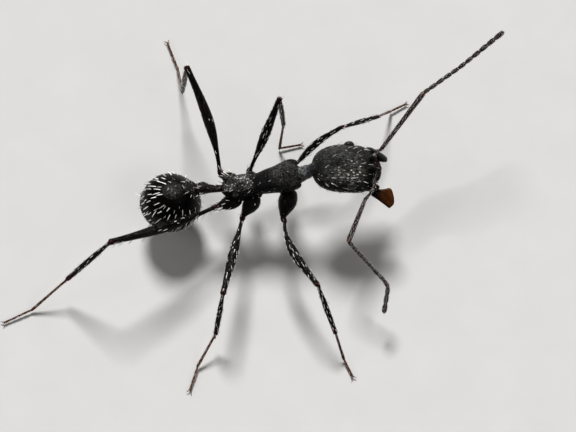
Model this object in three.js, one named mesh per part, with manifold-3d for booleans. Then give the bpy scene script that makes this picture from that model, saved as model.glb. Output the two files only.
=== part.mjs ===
// A matte black harvesting ant, life size, standing still on six feet.
//
// Millimetres, +Z up. The floor is z = 0. +X runs the way the ant faces, +Y is its left side.
// The origin lies on the floor, under the middle of the whole ant, feelers and feet included.
//
// The body is lofted through a few named stations and parted with thin cuts. Each leg and feeler
// is a chain of spindles from joint to joint: a joint's ball belongs to the piece nearer the body,
// and the next piece is hollowed to fit round it. Legs and feelers are kept half a millimetre
// thick, which is stouter than life, so that the solids are sturdy.

import * as THREE from 'three';
import { mergeVertices } from 'three/addons/utils/BufferGeometryUtils.js';
import Module from 'manifold-3d';

const wasm = await Module();
wasm.setup();

// ---------------------------------------------------------------- driving sizes

const cut = 0.03;                 // the thin cut between neighbouring pieces
const bodyYaw = 9.5;              // degrees that the trunk is turned to the left of +X
const middle = new THREE.Vector3(0.04, -0.299, 0);    // middle of the footprint before it is centred

const headLength = 1.7;
const headWidth = 1.26;
const headYaw = 3.5;
const headPitch = 11;             // degrees that the face looks down
const headCentre = new THREE.Vector3(2.35, 0.13, 1.95);

const eyeLength = 0.29;
const eyeHeight = 0.24;
const eyeDepth = 0.17;

const trunkCentre = new THREE.Vector3(0.225, -0.12, 0);
const waistCut = [0.18, -0.2];    // along the trunk: behind the pronotum, behind the mesonotum

const gasterLength = 1.76;
const gasterPitch = 62;           // degrees that the gaster hangs below the level
const gasterCentre = new THREE.Vector3(-2.1, -0.38, 0.97);

const footRadius = 0.225;
const footHeight = 0.205;         // the foot's middle line above the floor, leaving a flat sole

// ---------------------------------------------------------------- joints of the standing pose

const point = (x, y, z) => new THREE.Vector3(x, y, z);

// root: where the coxa leaves the trunk.  hip: trochanter.  ankle: end of the tibia.
// heel: where the foot meets the floor.  toe: its tip.
const legs = [
  { name: 'fore_right', root: point(0.94, -0.26, 1.42), hip: point(0.74, -0.85, 1.15),
    knee: point(1.62, -2.84, 1.47), ankle: point(2.06, -3.81, 0.71),
    heel: point(2.27, -4.24, 0), toe: point(2.42, -4.58, 0) },
  { name: 'fore_left', root: point(0.80, 0.20, 1.42), hip: point(0.85, 0.45, 0.95),
    knee: point(2.24, 1.29, 1.91), ankle: point(3.14, 2.00, 1.00),
    heel: point(3.50, 2.46, 0), toe: point(3.80, 2.74, 0) },
  { name: 'mid_right', root: point(0.07, -0.39, 1.38), hip: point(-0.25, -0.80, 1.15),
    knee: point(-0.74, -3.14, 1.64), ankle: point(-0.93, -3.77, 0.56),
    heel: point(-1.36, -4.42, 0), toe: point(-1.53, -4.90, 0) },
  { name: 'mid_left', root: point(-0.01, 0.08, 1.38), hip: point(-0.12, 0.42, 1.02),
    knee: point(0.67, 1.82, 2.48), ankle: point(0.76, 1.72, 1.12),
    heel: point(0.67, 1.55, 0), toe: point(1.10, 1.64, 0) },
  { name: 'hind_right', root: point(-0.35, -0.46, 1.38), hip: point(-0.90, -0.67, 1.41),
    knee: point(-3.54, -1.99, 2.20), ankle: point(-4.64, -2.34, 0.71),
    heel: point(-5.48, -2.87, 0), toe: point(-6.02, -3.16, 0) },
  { name: 'hind_left', root: point(-0.43, 0.02, 1.38), hip: point(-0.80, 0.23, 1.35),
    knee: point(-1.66, 2.55, 2.75), ankle: point(-1.79, 2.74, 0.93),
    heel: point(-1.94, 3.72, 0), toe: point(-2.13, 4.30, 0) },
];

// base: the socket on the face.  elbow: end of the scape.  bends: the whip's middle line.
const feelers = [
  { name: 'left', base: point(2.98, 0.35, 1.90), elbow: point(4.27, 1.96, 2.50),
    bends: [point(5.18, 2.50, 2.86), point(6.08, 3.19, 3.16)] },
  { name: 'right', base: point(3.04, -0.02, 1.84), elbow: point(2.38, -1.76, 1.72),
    bends: [point(2.98, -2.36, 1.42), point(3.38, -2.72, 1.20), point(3.30, -3.12, 0.92)] },
];

// ---------------------------------------------------------------- materials

function finish(name, colour, roughness) {
  return new THREE.MeshStandardMaterial({ name, color: colour, roughness, metalness: 0 });
}

const blackCuticle = finish('black cuticle', 0x17171a, 0.55);
const brownCuticle = finish('brown cuticle', 0x2c1a14, 0.5);
const feelerCuticle = finish('feeler cuticle', 0x33302c, 0.7);
const eyeFacets = finish('eye facets', 0x0b0b0d, 0.2);

// ---------------------------------------------------------------- solids and booleans

// A closed geometry with shared corners and no collapsed faces, as a manifold solid.
function solid(geometry) {
  geometry.deleteAttribute('normal');
  geometry.deleteAttribute('uv');
  const merged = mergeVertices(geometry, 1e-5);
  const corners = merged.index.array;
  const faces = [];
  for (let i = 0; i < corners.length; i += 3) {
    const [a, b, c] = [corners[i], corners[i + 1], corners[i + 2]];
    if (a !== b && b !== c && c !== a) {
      faces.push(a, b, c);
    }
  }
  return new wasm.Manifold(new wasm.Mesh({
    numProp: 3,
    vertProperties: Float32Array.from(merged.attributes.position.array),
    triVerts: Uint32Array.from(faces),
  }));
}

function geometryOf(manifold) {
  const mesh = manifold.getMesh();
  const geometry = new THREE.BufferGeometry();
  geometry.setAttribute('position', new THREE.BufferAttribute(mesh.vertProperties, 3));
  geometry.setIndex(new THREE.BufferAttribute(mesh.triVerts, 1));
  geometry.computeVertexNormals();
  return geometry;
}

const ant = new THREE.Group();
ant.position.set(-middle.x, -middle.y, 0);

// Adds a piece to the ant, without the crumbs that a cut can leave beside it.
function add(name, manifold, material) {
  const [largest] = manifold.decompose().sort((a, b) => b.volume() - a.volume());
  const mesh = new THREE.Mesh(geometryOf(largest), material);
  mesh.name = name;
  ant.add(mesh);
}

// A block that fills everything on one side of a plane, used to part or to flatten a solid.
function halfSpace(pointOnPlane, outward, size = 20) {
  const block = new THREE.BoxGeometry(size, size, size).translate(0, 0, size / 2);
  const turn = new THREE.Quaternion().setFromUnitVectors(point(0, 0, 1), outward.clone().normalize());
  block.applyQuaternion(turn);
  block.translate(pointOnPlane.x, pointOnPlane.y, pointOnPlane.z);
  return solid(block);
}

const belowFloor = halfSpace(point(0, 0, 0), point(0, 0, -1));

// ---------------------------------------------------------------- lofted body pieces

// The value of one measure at a place along the piece, eased between its stations.
function measure(stations, key, along) {
  const last = stations.length - 1;
  if (along <= stations[0].along) return stations[0][key];
  if (along >= stations[last].along) return stations[last][key];
  const next = stations.findIndex((station) => station.along > along);
  const [a, b] = [stations[next - 1], stations[next]];
  const t = (along - a.along) / (b.along - a.along);
  return THREE.MathUtils.lerp(a[key], b[key], t * t * (3 - 2 * t));
}

// A closed body along X through stations of half width, top and bottom, with rounded ends.
// bluntness: for the near end and the far end, 2 gives a plain ellipse and more a blunter end.
// squareness: 2 gives an oval section, more gives a squarer one.
function loft(stations, { sides, rings, bluntness, squareness = 2, grow = 0 }) {
  const start = stations[0].along - grow;
  const end = stations[stations.length - 1].along + grow;
  const geometry = new THREE.SphereGeometry(1, sides, rings);
  const places = geometry.attributes.position;
  const corner = (value) => Math.sign(value) * Math.abs(value) ** (2 / squareness);
  for (let i = 0; i < places.count; i += 1) {
    const station = places.getY(i);
    const ring = Math.hypot(places.getX(i), places.getZ(i));
    const left = ring > 1e-6 ? -places.getX(i) / ring : 0;
    const up = ring > 1e-6 ? places.getZ(i) / ring : 0;
    const along = THREE.MathUtils.lerp(start, end, (station + 1) / 2);
    const power = bluntness[station < 0 ? 0 : 1];
    const close = Math.sqrt(Math.max(0, 1 - Math.abs(station) ** power));
    const top = measure(stations, 'top', along);
    const bottom = measure(stations, 'bottom', along);
    const halfWidth = measure(stations, 'halfWidth', along) + grow;
    const halfHeight = (top - bottom) / 2 + grow;
    places.setXYZ(
      i,
      along,
      close * halfWidth * corner(left),
      (top + bottom) / 2 + close * halfHeight * corner(up),
    );
  }
  return geometry;
}

const radians = THREE.MathUtils.degToRad;

// Tilts a lofted piece nose down, turns it to the left, and carries it to its place.
function place(geometry, centre, yaw, pitch) {
  geometry.rotateY(radians(pitch));
  geometry.rotateZ(radians(yaw));
  geometry.translate(centre.x, centre.y, centre.z);
  return solid(geometry);
}

// Head: long oval with a blunt back, widest at the eyes, thinner towards the mouth.
const headStations = [
  { along: -headLength / 2, halfWidth: 0.52, top: 0.36, bottom: -0.34 },
  { along: -0.1, halfWidth: headWidth / 2, top: 0.47, bottom: -0.44 },
  { along: 0.35, halfWidth: headWidth / 2, top: 0.44, bottom: -0.42 },
  { along: headLength / 2, halfWidth: 0.54, top: 0.30, bottom: -0.32 },
];

function headSolid(grow = 0) {
  const shape = { sides: 20, rings: 14, bluntness: [4.8, 3.4], squareness: 2.3, grow };
  let head = place(loft(headStations, shape), headCentre, headYaw, headPitch);
  // The clypeus bulges over the mouth, and a frontal lobe shelters each feeler's socket.
  head = head.add(boss([0.16, 0.30, 0.17], onHead(0.72, 0, -0.04), grow));
  for (const side of [1, -1]) {
    head = head.add(boss([0.20, 0.09, 0.12], onHead(0.52, side * 0.15, 0.29), grow));
  }
  return head;
}

// A low rounded rise on the head, given by its half length, half width and half height.
function boss(halves, centre, grow) {
  const ball = new THREE.SphereGeometry(1, 10, 6);
  ball.scale(...halves.map((half) => half + grow));
  return place(ball, centre, headYaw, headPitch);
}

// A point given along, left of and above the head's middle.
function onHead(along, left, up) {
  const at = point(along, left, up);
  at.applyAxisAngle(point(0, 1, 0), radians(headPitch));
  at.applyAxisAngle(point(0, 0, 1), radians(headYaw));
  return at.add(headCentre);
}

function eyeSolid(side, grow = 0) {
  const ball = new THREE.SphereGeometry(1, 10, 8);
  ball.scale(eyeLength / 2 + grow, eyeDepth / 2 + grow, eyeHeight / 2 + grow);
  ball.rotateX(side * radians(18));
  return place(ball, onHead(0.05, side * 0.58, 0.19), headYaw, headPitch);
}

// Mandible: a flat toothed triangle, hinged at the corner of the mouth and held open.
// It swings outwards by opening and rolls by roll, both in degrees.
const bladeLength = 0.55;
const bladeThickness = 0.16;
const bladeTeeth = 5;

function mandibleSolid(side, { hinge, opening, roll }) {
  const hingeHalf = 0.09;
  const apex = new THREE.Vector2(bladeLength, -0.04);
  const bitingEdge = new THREE.QuadraticBezierCurve(
    apex, new THREE.Vector2(bladeLength, -0.34), new THREE.Vector2(0.2, -0.43),
  );
  const notchDepth = 0.045;
  const blade = new THREE.Shape();
  blade.moveTo(-hingeHalf, -hingeHalf);
  blade.lineTo(-hingeHalf, hingeHalf);
  blade.quadraticCurveTo(0.34, 0.14, apex.x, apex.y);
  for (let i = 1; i <= bladeTeeth; i += 1) {
    const notch = bitingEdge.getPointAt((i - 0.35) / bladeTeeth);
    const inwards = notch.clone().negate().setLength(notchDepth);
    const tooth = bitingEdge.getPointAt(i / bladeTeeth);
    blade.lineTo(notch.x + inwards.x, notch.y + inwards.y);
    blade.lineTo(tooth.x, tooth.y);
  }
  blade.quadraticCurveTo(0.04, -0.2, -hingeHalf, -hingeHalf);
  const plate = new THREE.ExtrudeGeometry(blade, {
    depth: bladeThickness, bevelEnabled: false, curveSegments: 6,
  });
  plate.translate(0, 0, -bladeThickness / 2);
  if (side < 0) {
    plate.rotateX(Math.PI);
  }
  plate.rotateX(-side * radians(roll));
  return place(plate, hinge, headYaw + side * opening, headPitch + 6);
}

// ---------------------------------------------------------------- trunk, waist and gaster

// Along the trunk from its rear end to the collar that carries the head. The propodeum is low and
// long, a groove parts it from the mesonotum, and the pronotum is high and round.
const trunkStations = [
  { along: -1.06, halfWidth: 0.25, top: 1.80, bottom: 1.38 },
  { along: -0.78, halfWidth: 0.30, top: 1.92, bottom: 1.33 },
  { along: -0.45, halfWidth: 0.32, top: 1.95, bottom: 1.32 },
  { along: -0.18, halfWidth: 0.275, top: 1.89, bottom: 1.31 },
  { along: 0.22, halfWidth: 0.335, top: 2.06, bottom: 1.33 },
  { along: 0.66, halfWidth: 0.43, top: 2.18, bottom: 1.38 },
  { along: 1.10, halfWidth: 0.20, top: 1.94, bottom: 1.58 },
];

function trunkSolid(grow = 0) {
  const shape = { sides: 16, rings: 20, bluntness: [9, 9], squareness: 2.2, grow };
  return place(loft(trunkStations, shape), trunkCentre, bodyYaw, 0);
}

function onTrunk(along, left, height) {
  const at = point(along, left, height);
  at.applyAxisAngle(point(0, 0, 1), radians(bodyYaw));
  return at.add(trunkCentre);
}

const alongTrunk = point(1, 0, 0).applyAxisAngle(point(0, 0, 1), radians(bodyYaw));

// The part of the trunk between two places along it, less half a thin cut at each.
function trunkBetween(whole, rear, front) {
  let piece = whole;
  if (rear !== null) {
    piece = piece.subtract(halfSpace(onTrunk(rear + cut / 2, 0, 1.6), alongTrunk.clone().negate()));
  }
  if (front !== null) {
    piece = piece.subtract(halfSpace(onTrunk(front - cut / 2, 0, 1.6), alongTrunk));
  }
  return piece;
}

// A round-tipped spike from one point towards another.
function spike(from, to, radius) {
  return spindle(from, to, () => radius, { endRadius: 0.02, sides: 6, rings: 1 });
}

const petioleStations = [
  { along: -0.46, halfWidth: 0.14, top: 0.04, bottom: -0.12 },
  { along: -0.28, halfWidth: 0.17, top: 0.13, bottom: -0.15 },
  { along: -0.13, halfWidth: 0.17, top: 0.29, bottom: -0.16 },
  { along: 0.06, halfWidth: 0.13, top: 0.12, bottom: -0.13 },
  { along: 0.44, halfWidth: 0.12, top: 0.09, bottom: -0.12 },
];

function petioleSolid(grow = 0) {
  const shape = { sides: 12, rings: 10, bluntness: [10, 10], grow };
  return place(loft(petioleStations, shape), point(-1.12, -0.245, 1.55), bodyYaw - 6, 2);
}

const postpetioleStations = [
  { along: -0.24, halfWidth: 0.20, top: 0.18, bottom: -0.18 },
  { along: 0.0, halfWidth: 0.22, top: 0.24, bottom: -0.20 },
  { along: 0.22, halfWidth: 0.14, top: 0.12, bottom: -0.14 },
];

function postpetioleSolid(grow = 0) {
  const shape = { sides: 12, rings: 8, bluntness: [3, 3], grow };
  return place(loft(postpetioleStations, shape), point(-1.57, -0.27, 1.60), 2, -12);
}

const gasterStations = [
  { along: -gasterLength / 2, halfWidth: 0.50, top: 0.50, bottom: -0.54 },
  { along: -0.2, halfWidth: 0.72, top: 0.75, bottom: -0.80 },
  { along: 0.25, halfWidth: 0.74, top: 0.80, bottom: -0.80 },
  { along: gasterLength / 2, halfWidth: 0.62, top: 0.66, bottom: -0.64 },
];

function gasterSolid(grow = 0) {
  const shape = { sides: 20, rings: 14, bluntness: [2.3, 2.3], grow };
  return place(loft(gasterStations, shape), gasterCentre, 2, -gasterPitch);
}

// ---------------------------------------------------------------- legs and feelers

// A solid of revolution between two points. Its far end is a round cap, which adds its radius to
// the length. Its near end is a narrow stub, because it starts inside the ball of the piece before.
// radiusAt gives the radius at a fraction of the way.
function spindle(from, to, radiusAt, { endRadius = null, sides = 8, rings = 4, grow = 0 } = {}) {
  const length = from.distanceTo(to);
  const capSteps = 2;
  const first = radiusAt(0) + grow;
  const last = (endRadius ?? radiusAt(1)) + grow;
  const outline = [
    new THREE.Vector2(0, 0),
    new THREE.Vector2(0.65 * first, 0),
    new THREE.Vector2(first, 0.8 * first),
  ];
  for (let i = 1; i < rings; i += 1) {
    const t = i / rings;
    outline.push(new THREE.Vector2(radiusAt(t) + grow, length * t));
  }
  for (let i = 0; i <= capSteps; i += 1) {
    const angle = (i / capSteps) * Math.PI / 2;
    outline.push(new THREE.Vector2(last * Math.cos(angle), length + last * Math.sin(angle)));
  }
  outline[outline.length - 1].x = 0;
  const geometry = new THREE.LatheGeometry(outline, sides);
  const direction = to.clone().sub(from).normalize();
  geometry.applyQuaternion(new THREE.Quaternion().setFromUnitVectors(point(0, 1, 0), direction));
  geometry.translate(from.x, from.y, from.z);
  return solid(geometry);
}

// Thickness along each kind of segment: a base radius with a swelling at a fraction of the way.
function swelling(base, extra, peak, spread) {
  return (t) => base + extra * Math.exp(-(((t - peak) / spread) ** 2));
}

const coxaRadius = swelling(0.2, 0.045, 0.3, 0.5);
const femurRadius = swelling(0.215, 0.04, 0.5, 0.3);
const tibiaRadius = swelling(0.215, 0.015, 0.6, 0.35);
const footRadiusAt = () => footRadius;
const scapeRadius = swelling(0.205, 0.02, 0.9, 0.5);
const whipRadius = swelling(0.205, 0.025, 0.9, 0.6);

// ---------------------------------------------------------------- the ant

const headGrown = headSolid(cut);
const trunkWhole = trunkSolid();
const trunkGrown = trunkSolid(cut);
const gasterGrown = gasterSolid(cut);

let head = headSolid();
for (const [side, name] of [[1, 'left'], [-1, 'right']]) {
  head = head.subtract(eyeSolid(side, cut));
  add(`eye_${name}`, eyeSolid(side), eyeFacets);
}
add('head', head, blackCuticle);

const mandibles = {
  left: mandibleSolid(1, { hinge: onHead(0.62, 0.53, -0.14), opening: -6, roll: 66 }),
  right: mandibleSolid(-1, { hinge: onHead(0.66, -0.49, -0.20), opening: 50, roll: 10 }),
};
for (const [name, mandible] of Object.entries(mandibles)) {
  add(`mandible_${name}`, mandible.subtract(headGrown), brownCuticle);
}

for (const feeler of feelers) {
  const scape = spindle(feeler.base, feeler.elbow, scapeRadius).subtract(headGrown);
  add(`scape_${feeler.name}`, scape, feelerCuticle);
  let from = feeler.elbow;
  let before = spindle(feeler.base, feeler.elbow, scapeRadius, { grow: cut });
  feeler.bends.forEach((to, index) => {
    const length = spindle(from, to, whipRadius, { rings: 3 });
    add(`feeler_${feeler.name}_${index + 1}`, length.subtract(before), feelerCuticle);
    before = spindle(from, to, whipRadius, { grow: cut });
    from = to;
  });
}

// The collar between the trunk and the back of the head.
const collar = spindle(onTrunk(0.8, 0, 1.74), onHead(-0.6, 0, 0.02), () => 0.2, { sides: 12, rings: 2 });
add('neck', collar.subtract(headGrown).subtract(trunkGrown), blackCuticle);

add('pronotum', trunkBetween(trunkWhole, waistCut[0], null), blackCuticle);
add('mesonotum', trunkBetween(trunkWhole, waistCut[1], waistCut[0]), blackCuticle);

let propodeum = trunkBetween(trunkWhole, null, waistCut[1]);
for (const side of [1, -1]) {
  const spineRoot = onTrunk(-0.84, side * 0.17, 1.82);
  const spineTip = onTrunk(-1.06, side * 0.23, 1.98);
  propodeum = propodeum.add(spike(spineRoot, spineTip, 0.07));
}
add('propodeum', propodeum, blackCuticle);

const petiole = petioleSolid().subtract(trunkGrown);
add('petiole', petiole, blackCuticle);
const postpetiole = postpetioleSolid().subtract(petioleSolid(cut));
add('postpetiole', postpetiole, blackCuticle);

// The gaster's first plate covers its front half and more; the short plates behind are one piece.
const gaster = gasterSolid().subtract(postpetioleSolid(cut)).subtract(petioleSolid(cut));
const alongGaster = point(-1, 0, 0).applyAxisAngle(point(0, 1, 0), radians(-gasterPitch));
const plateEdge = gasterCentre.clone().addScaledVector(alongGaster, 0.38);
const behind = halfSpace(plateEdge.clone().addScaledVector(alongGaster, -cut / 2), alongGaster);
const ahead = halfSpace(
  plateEdge.clone().addScaledVector(alongGaster, cut / 2),
  alongGaster.clone().negate(),
);
add('gaster_front', gaster.subtract(behind), blackCuticle);
add('gaster_tip', gaster.subtract(ahead), blackCuticle);

for (const leg of legs) {
  const heel = leg.heel.clone().setZ(footHeight);
  const toe = leg.toe.clone().setZ(footHeight);
  const coxa = (grow = 0) => spindle(leg.root, leg.hip, coxaRadius, { grow, rings: 2 });
  const femur = (grow = 0) => spindle(leg.hip, leg.knee, femurRadius, { grow });
  const tibia = (grow = 0) => spindle(leg.knee, leg.ankle, tibiaRadius, { grow });
  const shank = spindle(leg.ankle, heel, footRadiusAt, { sides: 6, rings: 1 });
  const sole = spindle(heel, toe, footRadiusAt, { sides: 6, rings: 1 });

  add(`coxa_${leg.name}`, coxa().subtract(trunkGrown), blackCuticle);
  add(`femur_${leg.name}`,
    femur().subtract(coxa(cut)).subtract(trunkGrown).subtract(gasterGrown), blackCuticle);
  add(`tibia_${leg.name}`, tibia().subtract(femur(cut)), blackCuticle);
  add(`foot_${leg.name}`, shank.add(sole).subtract(tibia(cut)).subtract(belowFloor), brownCuticle);
}

export default ant;
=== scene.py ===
"""The looks of a matte black harvesting ant, life size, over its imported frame.

Shapes are modelled in millimetres in the frame of the solids before they are centred: the floor
is z = 0, +X runs the way the ant faces and +Y is its left side. Shells are lofts of rings and
balls on their own axes, fused where they grow together and then carried to their places. At the
end settle() brings every piece to metres.
"""

import math
import random
from contextlib import contextmanager

import bpy
import numpy as np
from mathutils import Matrix, Vector


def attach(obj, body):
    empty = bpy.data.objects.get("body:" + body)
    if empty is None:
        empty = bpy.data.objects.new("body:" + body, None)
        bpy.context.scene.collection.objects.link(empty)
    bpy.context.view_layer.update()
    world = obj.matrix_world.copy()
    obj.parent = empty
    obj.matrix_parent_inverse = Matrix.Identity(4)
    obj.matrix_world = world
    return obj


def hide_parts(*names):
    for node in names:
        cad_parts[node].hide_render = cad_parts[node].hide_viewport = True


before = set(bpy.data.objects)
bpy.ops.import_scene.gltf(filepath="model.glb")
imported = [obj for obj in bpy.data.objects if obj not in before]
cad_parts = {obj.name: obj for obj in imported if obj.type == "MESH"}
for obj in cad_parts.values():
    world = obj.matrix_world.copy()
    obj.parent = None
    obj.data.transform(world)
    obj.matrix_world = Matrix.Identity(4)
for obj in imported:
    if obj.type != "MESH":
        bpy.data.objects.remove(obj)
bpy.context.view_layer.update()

# ---------------------------------------------------------------- driving sizes

MM = 0.001
MIDDLE = Vector((0.04, -0.299, 0.0))      # the middle of the footprint, as in the part's source
BODY = "root"

BODY_YAW = 9.5                            # degrees
HEAD_LENGTH = 1.7
HEAD_WIDTH = 1.26
HEAD_YAW = 3.5
HEAD_PITCH = 11.0
HEAD_CENTRE = Vector((2.35, 0.13, 1.95))

TRUNK_CENTRE = Vector((0.225, -0.12, 0.0))
PETIOLE_CENTRE = Vector((-1.12, -0.245, 1.55))
POSTPETIOLE_CENTRE = Vector((-1.57, -0.27, 1.60))
GASTER_CENTRE = Vector((-2.1, -0.38, 0.97))
GASTER_LENGTH = 1.76
GASTER_PITCH = 62.0
GASTER_YAW = 2.0
PLATE_EDGE = -0.38                        # where the first plate of the gaster ends

# The joints of each leg: root, hip, knee, ankle, heel and toe. The feet are as thin as in life,
# so they reach a little lower and farther than the middle lines of the solid feet.
LEGS = {
    "fore_right": ((0.94, -0.26, 1.42), (0.74, -0.85, 1.15), (1.62, -2.84, 1.47),
                   (2.06, -3.81, 0.71), (2.27, -4.26, 0.10), (2.48, -4.70, 0.066)),
    "fore_left": ((0.80, 0.20, 1.42), (0.85, 0.45, 0.95), (2.24, 1.29, 1.91),
                  (3.14, 2.00, 1.00), (3.47, 2.56, 0.10), (3.85, 2.77, 0.066)),
    "mid_right": ((0.07, -0.39, 1.38), (-0.25, -0.80, 1.15), (-0.74, -3.14, 1.64),
                  (-0.93, -3.77, 0.56), (-1.38, -4.45, 0.10), (-1.57, -5.07, 0.066)),
    "mid_left": ((-0.01, 0.08, 1.38), (-0.12, 0.42, 1.02), (0.67, 1.82, 2.48),
                 (0.76, 1.72, 1.12), (0.66, 1.53, 0.10), (1.19, 1.64, 0.066)),
    "hind_right": ((-0.35, -0.46, 1.38), (-0.90, -0.67, 1.41), (-3.54, -1.99, 2.20),
                   (-4.64, -2.34, 0.71), (-5.53, -2.91, 0.10), (-6.22, -3.25, 0.066)),
    "hind_left": ((-0.43, 0.02, 1.38), (-0.80, 0.23, 1.35), (-1.66, 2.55, 2.75),
                  (-1.79, 2.74, 0.93), (-1.94, 3.78, 0.10), (-2.19, 4.48, 0.066)),
}

# Half thickness of the coxa, femur and tibia of each leg.
LEG_RADII = {
    "fore_right": (0.255, 0.125, 0.072),
    "fore_left": (0.19, 0.095, 0.068),
    "mid_right": (0.225, 0.130, 0.072),
    "mid_left": (0.17, 0.125, 0.068),
    "hind_right": (0.205, 0.142, 0.076),
    "hind_left": (0.19, 0.140, 0.072),
}

# How many hairs stand on the coxa, femur and tibia of each pair of legs.
LEG_HAIRS = {
    "fore": (12, 58, 50),
    "mid": (12, 62, 46),
    "hind": (16, 20, 60),
}

# How far the middle of each bowed femur stands off the straight line between its joints, and the
# share of its length where it stands farthest.
FEMUR_BOWS = {
    "fore_right": ((-0.144, -0.083, 0.0), 0.38),
    "fore_left": ((-0.07, 0.09, 0.0), 0.55),
    "mid_right": ((0.0, 0.0, 0.03), 0.5),
    "mid_left": ((0.02, 0.0, 0.03), 0.4),
    "hind_right": ((0.024, -0.078, 0.0), 0.45),
    "hind_left": ((0.107, 0.037, 0.0), 0.45),
}

# The feelers: socket, elbow at the end of the scape, and the bends of the whip.
FEELERS = {
    "left": ((2.98, 0.35, 1.90), (4.27, 1.96, 2.50), (5.18, 2.50, 2.86), (6.265, 3.32, 3.20)),
    "right": ((3.04, -0.02, 1.84), (2.38, -1.76, 1.72), (2.98, -2.36, 1.42), (3.38, -2.72, 1.20),
              (3.27, -3.30, 0.80)),
}


# ---------------------------------------------------------------- modelling helpers

END_STATION = 0.997                       # the end rings of a body piece stop just short of it
ROUND_END = ((0.25, 0.8), (0.45, 0.45))   # rings past a round end: distance and width, in radii


def select_only(*pieces):
    bpy.ops.object.select_all(action="DESELECT")
    for piece in pieces:
        piece.select_set(True)
    bpy.context.view_layer.objects.active = pieces[0]


@contextmanager
def edit_mode():
    """Edits the active piece, with its whole mesh selected."""
    bpy.ops.object.mode_set(mode="EDIT")
    bpy.ops.mesh.select_all(action="SELECT")
    yield
    bpy.ops.object.mode_set(mode="OBJECT")


def apply_place(piece):
    """Moves the object's place, turn and size into its mesh."""
    select_only(piece)
    bpy.ops.object.transform_apply(location=True, rotation=True, scale=True)


def finished(piece, kind, **settings):
    """Adds one modifier with its settings and applies it."""
    select_only(piece)
    modifier = piece.modifiers.new(kind.lower(), kind)
    for key, value in settings.items():
        setattr(modifier, key, value)
    bpy.ops.object.modifier_apply(modifier=modifier.name)


def smoothed(piece, levels):
    """Rounds a cage of rings with a subdivision surface."""
    finished(piece, "SUBSURF", levels=levels, render_levels=levels)
    bpy.ops.object.shade_smooth()
    return piece


def named(piece, name):
    piece.name = name
    piece.data.name = name
    return piece


def joined(name, *pieces):
    """One piece from several."""
    select_only(*pieces)
    bpy.ops.object.join()
    return named(bpy.context.object, name)


def fused(name, voxel, *pieces):
    """One closed skin round several overlapping pieces."""
    piece = joined(name, *pieces)
    finished(piece, "REMESH", mode="VOXEL", voxel_size=voxel)
    finished(piece, "SMOOTH", factor=0.6, iterations=4)
    bpy.ops.object.shade_smooth()
    return piece


def vectors_of(piece, key="co"):
    """The places of a piece's points, or with "normal" their outward directions."""
    vectors = np.empty(len(piece.data.vertices) * 3)
    piece.data.vertices.foreach_get(key, vectors)
    return vectors.reshape(-1, 3)


def in_order(piece):
    """Numbers the faces of a mesh by their corners, so that each run makes the same mesh."""
    faces = []
    for face in piece.data.polygons:
        corners = list(face.vertices)
        first = corners.index(min(corners))
        faces.append(corners[first:] + corners[:first])
    points = vectors_of(piece).tolist()
    piece.data.clear_geometry()
    piece.data.from_pydata(points, [], sorted(faces))
    return piece


def lofted(name, rings, sides):
    """A closed shell along +X. A ring is (along, left, up, half width, half height)."""
    bpy.ops.mesh.primitive_circle_add(
        vertices=sides, radius=1, fill_type="NGON", rotation=(0, math.pi / 2, 0))
    piece = bpy.context.object
    piece.name = name
    apply_place(piece)
    first = rings[0]
    with edit_mode():
        bpy.ops.transform.resize(value=(1, first[3], first[4]), center_override=(0, 0, 0))
        bpy.ops.transform.translate(value=first[:3])
        for before, ring in zip(rings, rings[1:]):
            step = Vector(ring[:3]) - Vector(before[:3])
            bpy.ops.mesh.extrude_region_move(TRANSFORM_OT_translate={"value": step})
            bpy.ops.transform.resize(
                value=(1, ring[3] / before[3], ring[4] / before[4]), center_override=ring[:3])
        bpy.ops.mesh.select_all(action="SELECT")
        bpy.ops.mesh.normals_make_consistent(inside=False)
    return in_order(piece)


def turned(name, stations, sides=12):
    """A round shell along +X through stations of (along, radius), with rounded ends."""
    (start, near), (end, far) = stations[0], stations[-1]
    rounded = [(start - off * near, wide * near) for off, wide in reversed(ROUND_END)]
    rounded += stations
    rounded += [(end + off * far, wide * far) for off, wide in ROUND_END]
    return lofted(name, [(along, 0, 0, radius, radius) for along, radius in rounded], sides)


def eased(stations, along):
    """Half width, top and bottom at a place along the piece, eased between its stations."""
    if along <= stations[0][0]:
        return stations[0][1:]
    for near, far in zip(stations, stations[1:]):
        if along < far[0]:
            t = (along - near[0]) / (far[0] - near[0])
            t = t * t * (3 - 2 * t)
            return [a + (b - a) * t for a, b in zip(near[1:], far[1:])]
    return stations[-1][1:]


def body_rings(stations, bluntness, count, inset, reach=(-1.0, 1.0)):
    """Rings of a body piece. Bluntness 2 closes an end as an ellipse, and more closes it later.
    The inset draws its surface in, and reach is the part of its length that is made."""
    start, end = stations[0][0] + inset, stations[-1][0] - inset
    low, high = max(-END_STATION, reach[0]), min(END_STATION, reach[1])
    rings = []
    for i in range(count + 1):
        swing = (1 - math.cos(math.pi * i / count)) / 2
        station = low + (high - low) * swing
        along = start + (end - start) * (station + 1) / 2
        close = math.sqrt(1 - abs(station) ** bluntness[0 if station < 0 else 1])
        half_width, top, bottom = eased(stations, along)
        half_height = (top - bottom) / 2
        rings.append((along, 0, (top + bottom) / 2,
                      close * (half_width - inset), close * (half_height - inset)))
    return rings


def ball(name, halves, centre=(0, 0, 0)):
    """A low rise or bead, given by its half length, half width and half height."""
    bpy.ops.mesh.primitive_ico_sphere_add(subdivisions=3, radius=1, location=centre)
    piece = bpy.context.object
    piece.name = name
    piece.scale = halves
    apply_place(piece)
    return piece


def spike(name, start, end, radius):
    """A tapering spike from one point to another."""
    start, end = Vector(start), Vector(end)
    length = (end - start).length
    piece = turned(name, [(0, radius), (0.5 * length, 0.62 * radius), (length, 0.12 * radius)], 10)
    return aimed(smoothed(piece, 1), start, end)


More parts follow.
